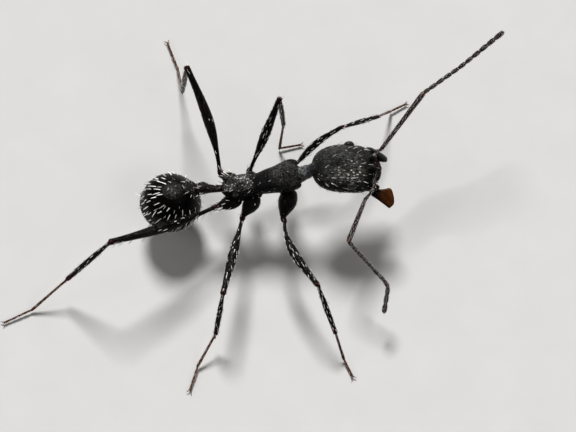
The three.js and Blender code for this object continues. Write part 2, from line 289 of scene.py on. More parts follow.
def placed(piece, centre, yaw, pitch=0.0, roll=0.0):
    """Rolls a piece, tilts it nose down, turns it to the left and carries it to its place."""
    piece.rotation_euler = [math.radians(angle) for angle in (roll, pitch, yaw)]
    piece.location = centre
    apply_place(piece)
    return piece


def aimed(piece, start, end):
    """Carries a piece that runs along +X from the origin so that it runs from start to end."""
    piece.rotation_mode = "QUATERNION"
    piece.rotation_quaternion = (Vector(end) - Vector(start)).to_track_quat("X", "Z")
    piece.location = start
    apply_place(piece)
    piece.rotation_mode = "XYZ"
    return piece


def turned_point(centre, yaw, pitch, along, left, up):
    turn = Matrix.Rotation(math.radians(yaw), 4, "Z") @ Matrix.Rotation(
        math.radians(pitch), 4, "Y")
    return Vector(centre) + turn @ Vector((along, left, up))


def on_head(along, left, up):
    return turned_point(HEAD_CENTRE, HEAD_YAW, HEAD_PITCH, along, left, up)


def on_trunk(along, left, height):
    return turned_point(TRUNK_CENTRE, BODY_YAW, 0, along, left, height)


def on_gaster(along, left, up):
    return turned_point(GASTER_CENTRE, GASTER_YAW, -GASTER_PITCH, along, left, up)


def mirrored(point, side):
    return point[0], side * point[1], point[2]


def between(value, low, high):
    """0 up to low, 1 from high on, and a straight ramp between them."""
    return min(1.0, max(0.0, (value - low) / (high - low)))


# A shade is a function of a point and its outward direction, both on the piece's own axes.

def even(value):
    return lambda p, out: value


# Painted sheen on the faces that look up.
def sheen_on_top(most):
    return lambda p, out: most * between(out[2], 0.2, 0.8)


def store(mesh, label, values, kind="FLOAT", key="value"):
    """Stores a value at each point of a mesh."""
    mesh.attributes.new(label, kind, "POINT").data.foreach_set(key, values)


def keep_shades(piece, warmth, bloom=even(0.3), frost=None):
    """Stores per point the warm colour, the pale tone with painted sheen, and painted glints."""
    points = list(zip(vectors_of(piece), vectors_of(piece, "normal")))
    for label, shade in (("warmth", warmth), ("bloom", bloom), ("frost", frost or bloom)):
        store(piece.data, label, [shade(*point) for point in points])


own_start = random.Random(5)


def keep_own_place(piece):
    """Stores each point's place on the piece's own axes, so that a pattern follows the piece."""
    start = np.array([own_start.uniform(-20, 20) for _ in range(3)])
    store(piece.data, "own_place", (vectors_of(piece) + start).ravel(), "FLOAT_VECTOR", "vector")


def laid(skin, shades, *place):
    """Shades a skin on its own axes and carries it to its place."""
    keep_shades(skin, *shades)
    keep_own_place(skin)
    return placed(skin, *place)


# ---------------------------------------------------------------- shader nodes and materials

MIX_MASK, MIX_LOW, MIX_HIGH, MIX_RESULT = 0, 6, 7, 2   # sockets of a mix of two colours


def feed(tree, target, sources):
    """Links or sets inputs of a node, which are given by their numbers or names."""
    for key, source in sources.items():
        socket = target.inputs[key]
        if isinstance(source, bpy.types.NodeSocket):
            tree.links.new(source, socket)
        elif socket.type == "RGBA":
            socket.default_value = (*source, 1)
        else:
            socket.default_value = source


def node(tree, kind, sources, **settings):
    """The outputs of a new shader node with these inputs and settings."""
    made = tree.nodes.new("ShaderNode" + kind)
    for key, value in settings.items():
        setattr(made, key, value)
    feed(tree, made, sources)
    return made.outputs


def times(tree, first, second):
    return node(tree, "Math", {0: first, 1: second}, operation="MULTIPLY")[0]


def plus(tree, first, second):
    return node(tree, "Math", {0: first, 1: second}, operation="ADD")[0]


def ranged(tree, value, low, high, to_low, to_high):
    """A value carried from one range to another, and kept in it."""
    return node(tree, "MapRange", dict(enumerate((value, low, high, to_low, to_high))))[0]


def mixed(tree, mask, low, high):
    """Goes from one colour to another with a mask."""
    sources = {MIX_MASK: mask, MIX_LOW: low, MIX_HIGH: high}
    return node(tree, "Mix", sources, data_type="RGBA")[MIX_RESULT]


def noise(tree, scale, detail, place):
    return node(tree, "TexNoise", {"Scale": scale, "Detail": detail, "Vector": place})


def cells(tree, feature, scale, place):
    return node(tree, "TexVoronoi", {"Scale": scale, "Vector": place}, feature=feature)


def shifted(tree, place, by, reach):
    """A place pushed about by a noise's colour, as far as reach."""
    return node(tree, "VectorMath", {0: by, 1: (reach, reach, reach), 2: place},
                operation="MULTIPLY_ADD")[0]


def shade_of(tree, label):
    return node(tree, "Attribute", {}, attribute_name=label)["Fac"]


SCULPTURE_INPUTS = {
    "Place": "Vector", "Warmth": "Float", "Bloom": "Float", "Frost": "Float",
    "Colour": "Color", "Ridge Colour": "Color", "Fleck Colour": "Color", "Warm Colour": "Color",
    "Cells": "Float", "Flecks": "Float", "Relief": "Float",
    "Gloss Low": "Float", "Gloss High": "Float",
}
SCULPTURE_OUTPUTS = {"Color": "Color", "Roughness": "Float", "Normal": "Vector"}


def sculpture_group():
    """Cuticle sculpture: ridges round cells, a shagreen, painted sheen and painted glints."""
    tree = bpy.data.node_groups.new("cuticle_sculpture", "ShaderNodeTree")
    for way, sockets in (("INPUT", SCULPTURE_INPUTS), ("OUTPUT", SCULPTURE_OUTPUTS)):
        for label, kind in sockets.items():
            tree.interface.new_socket(label, in_out=way, socket_type="NodeSocket" + kind)
    take = tree.nodes.new("NodeGroupInput").outputs
    place = take["Place"]

    bent = shifted(tree, place, noise(tree, 7.0, 2, place)["Color"], 0.05)
    fine = noise(tree, times(tree, take["Cells"], 2.2), 2, place)
    ragged = shifted(tree, bent, fine["Color"], 0.03)

    edges = cells(tree, "DISTANCE_TO_EDGE", take["Cells"], bent)
    net = ranged(tree, edges["Distance"], 0.0, 0.2, 1.0, 0.0)
    shagreen = noise(tree, times(tree, take["Cells"], 0.75), 4, place)
    grain = ranged(tree, shagreen["Fac"], 0.40, 0.66, 0.0, 1.0)
    cloudy = noise(tree, 3.4, 2, place)["Fac"]
    cloud = ranged(tree, cloudy, 0.38, 0.62, 0.35, 1.0)
    # The paler ridge colour shows as far as the pale tone and the painted sheen reach.
    patches = times(tree, cloud, ranged(tree, take["Bloom"], 0.0, 1.0, 0.03, 1.0))

    # Painted glints: pale raised spots in some cells, thickest where the glints are spread.
    glints = cells(tree, "F1", times(tree, take["Cells"], 0.80), ragged)
    luck = node(tree, "SeparateColor", {"Color": glints["Color"]})["Red"]
    clumps = ranged(tree, cloudy, 0.36, 0.60, 0.1, 1.0)
    spread_glints = times(tree, clumps, times(tree, take["Frost"], take["Flecks"]))
    lit = ranged(tree, plus(tree, luck, spread_glints), 0.98, 1.28, 0.0, 1.0)
    flecks = times(tree, lit, ranged(tree, glints["Distance"], 0.15, 0.5, 1.0, 0.0))

    height = plus(tree, plus(tree, net, times(tree, grain, 0.9)), flecks)
    raised = plus(tree, times(tree, net, 0.25), times(tree, grain, 0.85))
    ridged = mixed(tree, times(tree, raised, patches), take["Colour"], take["Ridge Colour"])
    glinted = mixed(tree, flecks, ridged, take["Fleck Colour"])
    feed(tree, tree.nodes.new("NodeGroupOutput"), {
        "Color": mixed(tree, take["Warmth"], glinted, take["Warm Colour"]),
        "Roughness": ranged(tree, grain, 0.0, 1.0, take["Gloss Low"], take["Gloss High"]),
        "Normal": node(tree, "Bump", {"Height": height, "Distance": take["Relief"]})["Normal"]})
    return tree


sculpture = sculpture_group()


def new_material(name):
    """A material with a Principled BSDF, and its node tree."""
    material = bpy.data.materials.new(name)
    material.use_nodes = True
    return material, material.node_tree, material.node_tree.nodes["Principled BSDF"]


def cuticle(name, stretch, specular, **values):
    """A cuticle whose sculpture follows the piece. Stretch draws its cells out along the piece."""
    material, tree, surface = new_material(name)
    own_place = node(tree, "Attribute", {}, attribute_name="own_place")["Vector"]
    drawn_out = node(tree, "Mapping", {"Vector": own_place, "Scale": (1 / stretch, 1, 1)})
    sources = {"Place": drawn_out["Vector"]}
    for label in ("warmth", "bloom", "frost"):
        sources[label.title()] = shade_of(tree, label)
    for label, value in values.items():
        sources[label.replace("_", " ").title()] = value
    relief = node(tree, "Group", sources, node_tree=sculpture)
    feed(tree, surface, {"Base Color": relief["Color"], "Roughness": relief["Roughness"],
                         "Normal": relief["Normal"], "Specular IOR Level": specular})
    return material


def bristle_material():
    """Ivory to silver hair, darker at some roots."""
    material, tree, surface = new_material("bristle_ivory")
    pale = shade_of(tree, "hair_shade")
    shaft = mixed(tree, pale, (0.22, 0.19, 0.16), (0.95, 0.94, 0.91))
    feed(tree, surface, {
        "Base Color": mixed(tree, shade_of(tree, "hair_root"), shaft, (0.20, 0.13, 0.07)),
        "Roughness": ranged(tree, pale, 0.0, 1.0, 0.5, 0.32), "Specular IOR Level": 0.6})
    return material


def eye_material():
    """Glossy black facets, with paler joints that paint a grey reflection over the eye."""
    material, tree, surface = new_material("eye_facets")
    groove = shade_of(tree, "warmth")
    feed(tree, surface, {
        "Base Color": mixed(tree, groove, (0.009, 0.008, 0.008), (0.045, 0.039, 0.037)),
        "Roughness": ranged(tree, groove, 0.0, 1.0, 0.14, 0.45),
        "Specular IOR Level": 0.25, "Coat Weight": 0.15, "Coat Roughness": 0.1})
    return material


BODY_FINISH = {"warm_colour": (0.012, 0.0055, 0.0028), "relief": 0.000007,
               "gloss_low": 0.14, "gloss_high": 0.32}

# Each finish is a material and its slot.
# A ridge colour is also the colour of painted sheen, and a fleck colour paints glints.
head_black = cuticle(
    "cuticle_head", stretch=2.3, colour=(0.0011, 0.0011, 0.0009), specular=0.045,
    ridge_colour=(0.102, 0.101, 0.089), fleck_colour=(0.85, 0.84, 0.78),
    cells=36.0, flecks=0.56, **BODY_FINISH), "black_cuticle"
trunk_black = cuticle(
    "cuticle_trunk", stretch=1.15, colour=(0.0011, 0.0009, 0.0009), specular=0.045,
    ridge_colour=(0.165, 0.156, 0.151), fleck_colour=(0.86, 0.85, 0.82),
    cells=34.0, flecks=0.84, **BODY_FINISH), "black_cuticle"
# The collar's pale grey is a painted highlight on its top.
collar_sheen = cuticle(
    "cuticle_collar", stretch=0.8, colour=(0.006, 0.0065, 0.007), specular=0.25,
    ridge_colour=(0.17, 0.178, 0.178), fleck_colour=(0.5, 0.52, 0.52),
    cells=28.0, flecks=0.4, **BODY_FINISH), "black_cuticle"
gaster_black = cuticle(
    "cuticle_gaster", stretch=1.3, colour=(0.0008, 0.0006, 0.0005), specular=0.025,
    ridge_colour=(0.095, 0.090, 0.086), fleck_colour=(0.60, 0.59, 0.57),
    warm_colour=(0.026, 0.0080, 0.0020), cells=34.0, flecks=0.35, relief=0.000002,
    gloss_low=0.12, gloss_high=0.22), "black_cuticle"
leg_black = cuticle(
    "cuticle_leg", stretch=2.2, colour=(0.0009, 0.0006, 0.0005), specular=0.05,
    ridge_colour=(0.026, 0.018, 0.016), fleck_colour=(0.30, 0.28, 0.26),
    warm_colour=(0.022, 0.0045, 0.003), cells=32.0, flecks=0.22, relief=0.000004,
    gloss_low=0.12, gloss_high=0.26), "black_cuticle"
foot_brown = cuticle(
    "cuticle_foot", stretch=2.2, colour=(0.030, 0.0085, 0.003), specular=0.12,
    ridge_colour=(0.11, 0.034, 0.011), fleck_colour=(0.28, 0.14, 0.06),
    warm_colour=(0.10, 0.032, 0.010), cells=30.0, flecks=0.2, relief=0.000003,
    gloss_low=0.3, gloss_high=0.5), "brown_cuticle"
# Its warm colour is near black: painted shade on the left jaw and dark margins on both.
mandible_brown = cuticle(
    "cuticle_mandible", stretch=6.0, colour=(0.020, 0.0060, 0.0018), specular=0.05,
    ridge_colour=(0.105, 0.034, 0.008), fleck_colour=(0.20, 0.09, 0.04),
    warm_colour=(0.0026, 0.0016, 0.0013), cells=30.0, flecks=0.1, relief=0.0000010,
    gloss_low=0.16, gloss_high=0.28), "brown_cuticle"
feeler_grey = cuticle(
    "cuticle_feeler", stretch=1.6, colour=(0.006, 0.0030, 0.0026), specular=0.06,
    ridge_colour=(0.098, 0.058, 0.049), fleck_colour=(0.50, 0.44, 0.42),
    warm_colour=(0.070, 0.030, 0.014), cells=32.0, flecks=0.5, relief=0.000006,
    gloss_low=0.2, gloss_high=0.4), "feeler_cuticle"
bristle_ivory = bristle_material(), "bristle"
eye_black = eye_material(), "eye_facets"


# ---------------------------------------------------------------- hand over to the frame

waiting = []


def hand_over(piece, finish, *nodes):
    """Notes the finish and the nodes of a piece, until everything that needs it is made."""
    material, slot = finish
    piece.data.materials.clear()
    piece.data.materials.append(material)
    waiting.append((piece, slot, nodes))
    return piece


def settle(piece):
    """Brings a piece from millimetres to metres, in the centred frame."""
    piece.scale = (MM, MM, MM)
    piece.location = -MIDDLE * MM
    apply_place(piece)


# ---------------------------------------------------------------- coats

TRIES = 12                                # places tried for each hair of a patch
HAIR_RINGS = ((0.0, 1.0), (0.5, 0.85), (0.88, 0.5))   # shares of a hair's length and thickness
HAIR_SIDES = 3
HAIR_POINTS = len(HAIR_RINGS) * HAIR_SIDES + 1
ROOT_SHADE = 0.7                          # how brown the darkest root is
LEAN_SPREAD = 0.16                        # how far hairs stray sideways from their lie
STAND_SPREAD = 0.18                       # and from their angle off the skin
FLATTEST, STEEPEST = 4, 88                # degrees off the skin
LIMB_CURL = 0.25
BODY_CURL = 0.2
PATCH = 0.003                             # width of a hair's patch on its coat's unwrap
END_MARGIN, STRIP_MARGIN = 0.05, 0.03     # bare edges of that unwrap, and of its strips


def unit(vectors):
    return vectors / np.maximum(np.linalg.norm(vectors, axis=-1, keepdims=True), 1e-9)


def roots_on(piece, count, apart, seed, where=None):
    """Places spread over a skin, at least so far apart, with the outward direction at each."""
    mesh = piece.data
    mesh.calc_loop_triangles()
    corners = np.empty(len(mesh.loop_triangles) * 3, dtype=int)
    mesh.loop_triangles.foreach_get("vertices", corners)
    corners = vectors_of(piece)[corners].reshape(-1, 3, 3)
    across = np.cross(corners[:, 1] - corners[:, 0], corners[:, 2] - corners[:, 0])
    doubled = np.linalg.norm(across, axis=1)
    chance = np.random.default_rng(seed)
    picks = chance.choice(len(doubled), size=TRIES * count, p=doubled / doubled.sum())
    share = np.sqrt(chance.random(len(picks)))
    other = chance.random(len(picks))
    weights = np.stack([1 - share, share * (1 - other), share * other], axis=1)
    places = (corners[picks] * weights[:, :, None]).sum(axis=1)
    outward = across[picks] / np.maximum(doubled[picks], 1e-12)[:, None]
    taken, kept = {}, []
    for index, place in enumerate(places):
        if where is not None and not where(place, outward[index], chance.random()):
            continue
        cell = tuple(np.floor(place / apart).astype(int))
        near = (taken.get((cell[0] + i, cell[1] + j, cell[2] + k))
                for i in (-1, 0, 1) for j in (-1, 0, 1) for k in (-1, 0, 1))
        if any(root is not None and np.sum((places[root] - place) ** 2) < apart * apart
               for root in near):
            continue
        taken[cell] = index
        kept.append(index)
        if len(kept) == count:
            break
    return places[kept], outward[kept]


def varied(chance, count, spread, low, high):
    """A random share of about 1 for each hair, between two limits."""
    return np.clip(chance.normal(1, spread, count), low, high)[:, None]


def hairs(places, outward, lie, length, radius, stand, curl, strip, seed):
    """Arrays of one patch of hairs. stand is the angle off the skin and curl bends it back."""
    count = len(places)
    chance = np.random.default_rng(seed)
    along_skin = unit(lie - outward * np.sum(lie * outward, axis=1, keepdims=True))
    sideways = np.cross(outward, along_skin)
    along_skin = unit(along_skin + sideways * chance.normal(0, LEAN_SPREAD, (count, 1)))
    angle = stand + chance.normal(0, STAND_SPREAD * stand, count)
    angle = np.radians(np.clip(angle, FLATTEST, STEEPEST))[:, None]
    aim = outward * np.sin(angle) + along_skin * np.cos(angle)
    bend = along_skin * np.sin(angle) - outward * np.cos(angle)
    side = np.cross(aim, bend)
    lengths = length * varied(chance, count, 0.2, 0.55, 1.5)
    radii = radius * varied(chance, count, 0.15, 0.6, 1.4)
    points = []
    for step, taper in HAIR_RINGS:
        middle = places + lengths * (aim * step + bend * curl * step * step) - outward * radii
        for corner in range(HAIR_SIDES):
            turn = math.tau * corner / HAIR_SIDES
            points.append(middle + radii * taper * (side * math.sin(turn) + bend * math.cos(turn)))
    points.append(places + lengths * (aim + bend * curl) - outward * radii)
    shade = np.clip(chance.normal(0.7, 0.35, count), 0, 1)
    at_root = np.arange(HAIR_POINTS) < HAIR_SIDES
    root = np.tile(ROOT_SHADE * at_root, count) * np.repeat(chance.random(count), HAIR_POINTS)
    return {"points": np.stack(points, axis=1).reshape(-1, 3), "hair_root": root,
            "hair_shade": np.repeat(shade, HAIR_POINTS), "unwrap": unwrapped(places, strip)}


def unwrapped(places, strip):
    """Each root's place on a cylinder round its skin's axis, in the strip kept for that skin."""
    start, end, index, count = strip
    start = np.array(start)
    axis = np.array(end) - start
    length = np.linalg.norm(axis)
    axis = axis / length
    offset = places - start
    along = offset @ axis / length
    level = unit(np.cross(axis, np.array((0.1, 0.2, 1.0))))
    upright = np.cross(level, axis)
    angle = np.arctan2(offset @ upright, offset @ level) / math.tau + 0.5
    across = (index + STRIP_MARGIN + (1 - 2 * STRIP_MARGIN) * angle) / count
    along = END_MARGIN + (1 - 2 * END_MARGIN) * np.clip(along, -0.05, 1.05)
    return np.stack([along, across], axis=1)


def hair_faces():
    """The corners of one hair's faces: the sides between its rings, and those of its tip."""
    faces = []
    turns = [(corner, (corner + 1) % HAIR_SIDES) for corner in range(HAIR_SIDES)]
    for ring in range(0, HAIR_POINTS - 1 - HAIR_SIDES, HAIR_SIDES):
        upper = ring + HAIR_SIDES
        faces += [(ring + corner, ring + after, upper + after, upper + corner)
                  for corner, after in turns]
    return faces + [(upper + corner, upper + after, HAIR_POINTS - 1) for corner, after in turns]


def coat(name, patches):
    """One mesh of all the hairs of a region, with the map of their roots for the export."""
    whole = {key: np.concatenate([patch[key] for patch in patches]) for key in patches[0]}
    count = len(whole["unwrap"])
    one_hair = hair_faces()
    faces = [tuple(hair * HAIR_POINTS + corner for corner in face)
             for hair in range(count) for face in one_hair]
    mesh = bpy.data.meshes.new(name)
    mesh.from_pydata(whole["points"].tolist(), [], faces)
    spread = np.array([((i % HAIR_SIDES) / (HAIR_SIDES - 1) - 0.5,
                        i // HAIR_SIDES / len(HAIR_RINGS) - 0.5) for i in range(HAIR_POINTS)])
    unwrap = np.repeat(whole["unwrap"], HAIR_POINTS, axis=0) + np.tile(spread * PATCH, (count, 1))
    corners = np.empty(len(mesh.loops), dtype=int)
    mesh.loops.foreach_get("vertex_index", corners)
    mesh.uv_layers.new(name="OFBake").data.foreach_set("uv", unwrap[corners].ravel())
    for label in ("hair_shade", "hair_root"):
        store(mesh, label, whole[label])
    piece = bpy.data.objects.new(name, mesh)
    bpy.context.collection.objects.link(piece)
    select_only(piece)
    with edit_mode():
        bpy.ops.mesh.normals_make_consistent(inside=False)
    bpy.ops.object.shade_smooth()
    hand_over(piece, bristle_ivory)


def above(level):
    """Keeps a patch of hairs to the places that face up more than a level."""
    return lambda place, outward, luck: outward[2] > level


def limb_hairs(piece, start, end, index, count, number, length, seed, radius=0.0065, stand=34,
               apart=0.045, where=None):
    """Hairs that lean towards the far end of a limb. Its coat's map has count strips, and these
    take the one of that index."""
    places, outward = roots_on(piece, number, apart, seed, where)
    lie = np.tile(np.array(end) - np.array(start), (len(places), 1))
    return hairs(places, outward, unit(lie), length, radius, stand, LIMB_CURL,
                 (start, end, index, count), seed + 1)


def body_coat(name, skin, start, end, patches, seed):
    """Bristles of a body region that lean from start towards end. A patch is (number, length,
    radius, stand, spacing, which places)."""
    made = []
    axis = unit(np.array(end) - np.array(start))
    for index, (number, length, radius, stand, apart, where) in enumerate(patches):
        places, outward = roots_on(skin, number, apart, seed + index, where)
        lie = np.tile(axis, (len(places), 1))
        made.append(hairs(places, outward, lie, length, radius, stand, BODY_CURL,
                          (start, end, 0, 1), seed + 50 + index))
    coat(name, made)


# ---------------------------------------------------------------- head

HEAD_STATIONS = [
    (-HEAD_LENGTH / 2 - 0.04, 0.53, 0.29, -0.40),
    (-0.1, HEAD_WIDTH / 2, 0.47, -0.47),
    (0.35, HEAD_WIDTH / 2, 0.43, -0.47),
    (HEAD_LENGTH / 2, 0.53, 0.26, -0.40),
]

# The rises of the head capsule: half sizes and place, on the head's own axes. Those of the sides
# are repeated on the right.
FACE_RISES = {
    "clypeus": ((0.15, 0.33, 0.17), (0.735, 0, -0.03)),
    "clypeus_keel": ((0.16, 0.07, 0.13), (0.72, 0, 0.06)),
    "lip": ((0.09, 0.20, 0.10), (0.80, 0, -0.27)),
    "mouth": ((0.16, 0.24, 0.12), (0.66, 0, -0.27)),
}
SIDE_RISES = {
    "frontal_lobe": ((0.15, 0.055, 0.07), (0.56, 0.145, 0.345)),
    "cheek": ((0.30, 0.10, 0.16), (0.52, 0.47, -0.05)),
    "jaw_hinge": ((0.10, 0.09, 0.10), (0.70, 0.44, -0.15)),
}
EYE_PLACE = (0.05, 0.575, 0.205)
EYE_HALVES = (0.125, 0.080, 0.105)
EYE_LEAN = 18                             # degrees
GROOVE_DEPTH = 0.008                      # of the joints between the eye's facets, before sizing


def socket(side):
    """Where a feeler meets the face, on the head's own axes."""
    return 0.64, side * 0.235, 0.228


def head():
    """Long head capsule with the clypeus, frontal lobes, feeler sockets and jaw hinges."""
    capsule = smoothed(lofted("capsule", body_rings(HEAD_STATIONS, (5.0, 3.5), 20, -0.008), 28), 1)
    rises = [ball(name, *rise) for name, rise in FACE_RISES.items()]
    for side in (1, -1):
        rises.append(spike("frontal_carina", (0.66, side * 0.10, 0.30), (0.14, side * 0.17, 0.44),
                           0.055))
        rises += [ball(name, halves, mirrored(centre, side))
                  for name, (halves, centre) in SIDE_RISES.items()]
        bpy.ops.mesh.primitive_torus_add(
            major_radius=0.088, minor_radius=0.03, major_segments=24, minor_segments=8,
            location=socket(side), rotation=(-side * 0.5, 0.7, 0))
        rises.append(bpy.context.object)
    skin = fused("head_shell", 0.015, capsule, *rises)

    def lit_side(p):
        return between(1.25 - math.hypot((p[0] + 0.02) / 0.42, (p[1] + 0.26) / 0.26), 0.0, 0.6)

    def warmth(p, out):
        """Brownish at the front of the face, and a little on its underside."""
        return max(0.9 * between(p[0], 0.58, 0.72),
                   0.55 * between(-p[2], 0.05, 0.3) * between(p[0], -0.6, 0.2))

    # Pale tone with painted sheen on the upward faces, strongest on the lit side.
    def bloom(p, out):
        top = between(out[2], 0.25, 0.8)
        rear = 0.45 + 0.2 * between(p[0], -0.75, -0.3) + 0.35 * lit_side(p)
        return 0.03 + top * between(-p[0], -0.52, -0.22) * rear

    # Painted glints, gathered on the lit side of the head.
    def frost(p, out):
        top = between(out[2], 0.25, 0.8)
        return between(-p[0], -0.6, -0.4) * (0.08 * top + 0.92 * lit_side(p))

    laid(skin, (warmth, bloom, frost), HEAD_CENTRE, HEAD_YAW, HEAD_PITCH)
    return hand_over(skin, head_black, "head")


def palps():
    """Four short feelers of the mouth, under the lip, each of two joints."""
    parts = []
    for side in (1, -1):
        for spread, reach, droop in ((0.17, 0.20, -0.32), (0.07, 0.10, -0.35)):
            start = on_head(0.64, side * spread, -0.28)
            bend = on_head(0.68 + 0.5 * reach, side * (spread + 0.03), droop - 0.05)
            end = on_head(0.68 + reach, side * (spread - 0.02), droop - 0.14)
            parts.append(fitted(tarsus_form, "palp", start, bend, 0.017))
            parts.append(fitted(tarsus_form, "palp", bend, end, 0.014))
    hand_over(joined("mouth_palps", *parts), leg_black)


def eye(side, name):
    """A domed eye of six-sided facets."""
    lens = ball(f"eye_lens_{name}", (1, 1, 1))
    with edit_mode():
        bpy.ops.mesh.bevel(offset=33, offset_type="PERCENT", affect="VERTICES", segments=1)
        bpy.ops.mesh.select_all(action="SELECT")
        bpy.ops.mesh.remove_doubles(threshold=0.004)
        bpy.ops.mesh.select_all(action="SELECT")
        bpy.ops.mesh.inset(thickness=0.012, depth=0.014, use_individual=True)
        bpy.ops.mesh.inset(thickness=0.02, depth=0.008, use_individual=True)
    groove = np.median(np.linalg.norm(vectors_of(lens), axis=1)) - GROOVE_DEPTH
    keep_shades(lens, lambda p, out: 1.0 if np.linalg.norm(p) < groove else 0.0)
    lens.scale = EYE_HALVES
    apply_place(lens)
    keep_own_place(lens)
    placed(lens, (0, 0, 0), 0, 0, side * EYE_LEAN)
    placed(lens, on_head(*mirrored(EYE_PLACE, side)), HEAD_YAW, HEAD_PITCH)
    hand_over(lens, eye_black, f"eye_{name}")


BLADE_RINGS = [
    (-0.10, 0.0, 0.05, 0.05),
    (-0.08, 0.0, 0.085, 0.08),
    (0.02, -0.005, 0.12, 0.09),
    (0.09, -0.045, 0.145, 0.085),
    (0.15, -0.11, 0.19, 0.08),
    (0.215, -0.175, 0.235, 0.074),
    (0.30, -0.16, 0.205, 0.066),
    (0.40, -0.15, 0.165, 0.058),
    (0.475, -0.125, 0.13, 0.048),
    (0.525, -0.105, 0.10, 0.036),
    (0.545, -0.09, 0.06, 0.02),
]
BITING_EDGE = ((0.535, -0.03), (0.54, -0.24), (0.215, -0.385))
BLADE_TEETH = 8
BLADE_REACH = 0.53                        # how far along the blade its curl is complete
BLADE_HEART = (0.12, -0.12)               # the place in the blade that its teeth grow out from
TOOTH_LENGTH, TOOTH_RADIUS = 0.09, 0.042
APEX_OUT = 0.01                           # how far the first tooth stands past the biting edge
OTHERS_IN = 0.004                         # how far the others stop short of it
JAW_PITCH = HEAD_PITCH + 6


def mandible(side, name, hinge, opening, roll, length, hook, painted_shade):
    """A triangular blade with a finely toothed biting edge, swung out from its hinge. Its length
    is a share of the usual one, hook is how far its tip curls over, and painted_shade is how far
    painted shade blackens the whole blade."""
    def curl(along):
        share = max(0.0, along / BLADE_REACH)
        return hook * (0.5 * math.sin(math.pi * min(1.0, share)) - share * share)

    rings = [(along * length, middle, curl(along), half_width, half_height)
             for along, middle, half_width, half_height in BLADE_RINGS]
    blade = smoothed(lofted("blade", rings, 16), 2)
    apex, bulge, base = (Vector((*corner, 0)) for corner in BITING_EDGE)
    teeth = []
    for i in range(BLADE_TEETH):
        t = i / (BLADE_TEETH - 1)
        tip = apex.lerp(bulge, t).lerp(bulge.lerp(base, t), t)
        tip.z = curl(tip.x)
        tip.x *= length
        inwards = (Vector((*BLADE_HEART, tip.z)) - tip).normalized()
        depth = -APEX_OUT if i == 0 else OTHERS_IN
        teeth.append(spike("tooth", tip + inwards * TOOTH_LENGTH, tip + inwards * depth,
                           TOOTH_RADIUS))
    skin = fused(f"mandible_blade_{name}", 0.009, blade, *teeth)

    # Painted shade blackens the whole blade; its own dark side and base are darker too.
    def blackness(p, out):
        return max(painted_shade, 0.8 * between(out[1], 0.2, 0.8),
                   between(-p[0] + 0.3 * p[1], -0.22, -0.06))

    def bloom(p, out):
        return 0.35 + 0.65 * between(-p[1], 0.18, 0.4)

    half_turn = 180 if side < 0 else 0
    laid(skin, (blackness, bloom), hinge, HEAD_YAW + side * opening, JAW_PITCH,
         half_turn - side * roll)
    hand_over(skin, mandible_brown, f"mandible_{name}")


# ---------------------------------------------------------------- trunk, waist and gaster

TRUNK_STATIONS = [
    (-1.06, 0.25, 1.80, 1.38),
    (-0.78, 0.30, 1.92, 1.33),
    (-0.45, 0.32, 1.95, 1.32),
    (-0.18, 0.275, 1.89, 1.31),
    (0.22, 0.335, 2.06, 1.33),
    (0.66, 0.43, 2.18, 1.38),
    (1.10, 0.25, 1.97, 1.56),
]
# The rises of the trunk's left side, repeated on the right: half sizes and place.
TRUNK_RISES = [
    ("spiracle_rise", (0.09, 0.05, 0.07), (-0.72, 0.285, 1.70)),
    ("gland_rise", (0.13, 0.06, 0.09), (-0.86, 0.23, 1.45)),
    ("shoulder", (0.22, 0.10, 0.16), (0.74, 0.31, 1.86)),
    ("side_plate", (0.19, 0.09, 0.15), (-0.62, 0.24, 1.46)),
    ("side_plate", (0.19, 0.09, 0.15), (-0.22, 0.24, 1.46)),
    ("side_plate", (0.19, 0.09, 0.15), (0.58, 0.24, 1.46)),
]


# The lit top of the propodeum, where painted sheen and glints go.
def lit_propodeum_back(p, out):
    return between(out[2], 0.45, 0.85) * between(-p[0], 0.2, 0.4)


# The lit top of the pronotum's dome, where painted sheen goes.
def lit_pronotum_dome(p, out):
    off = math.hypot((p[0] - 0.62) / 0.42, p[1] / 0.36)
    return between(out[2], 0.2, 0.6) * between(1.15 - off, 0.0, 0.5)


def trunk():
    """The fused trunk: a high round pronotum, a low long propodeum, and its two short spines."""
    hull = smoothed(lofted("hull", body_rings(TRUNK_STATIONS, (9, 9), 26, 0.012), 20), 1)
    rises = []
    for side in (1, -1):
        rises.append(spike("spine", (-0.84, side * 0.17, 1.80), (-1.09, side * 0.235, 2.0), 0.075))
        rises += [ball(name, halves, mirrored(centre, side))
                  for name, halves, centre in TRUNK_RISES]
    skin = fused("trunk_shell", 0.02, hull, *rises)
    # Low brownish; painted sheen on lit propodeum and dome; painted glints on the propodeum.
    shades = (lambda p, out: 0.25 * between(-p[2], -1.5, -1.3),
              lambda p, out: 0.03 + 0.72 * lit_propodeum_back(p, out) + 0.5 * lit_pronotum_dome(p, out),
              lambda p, out: 0.05 + 0.95 * lit_propodeum_back(p, out))
    laid(skin, shades, TRUNK_CENTRE, BODY_YAW)
    return hand_over(skin, trunk_black, "pronotum", "mesonotum", "propodeum")


# The folds of the neck: share of its length, and radius.
NECK_FOLDS = ((0, 0.21), (0.2, 0.205), (0.32, 0.175), (0.40, 0.19), (0.52, 0.18), (0.62, 0.155),
              (0.75, 0.17), (1, 0.19))


def neck():
    start = on_trunk(0.92, 0, 1.76)
    end = on_head(-0.74, 0, 0.02)
    length = (end - start).length
    stations = [(share * length, radius) for share, radius in NECK_FOLDS]
    piece = smoothed(turned("neck_collar", stations, 16), 2)

    # Painted highlight on the top of the collar's middle.
    def bloom(p, out):
        return between(out[2], 0.0, 0.8) * between(-p[0], -0.8 * length, -0.6 * length)

    keep_shades(piece, even(0.0), bloom)
    keep_own_place(piece)
    hand_over(aimed(piece, start, end), collar_sheen, "neck")


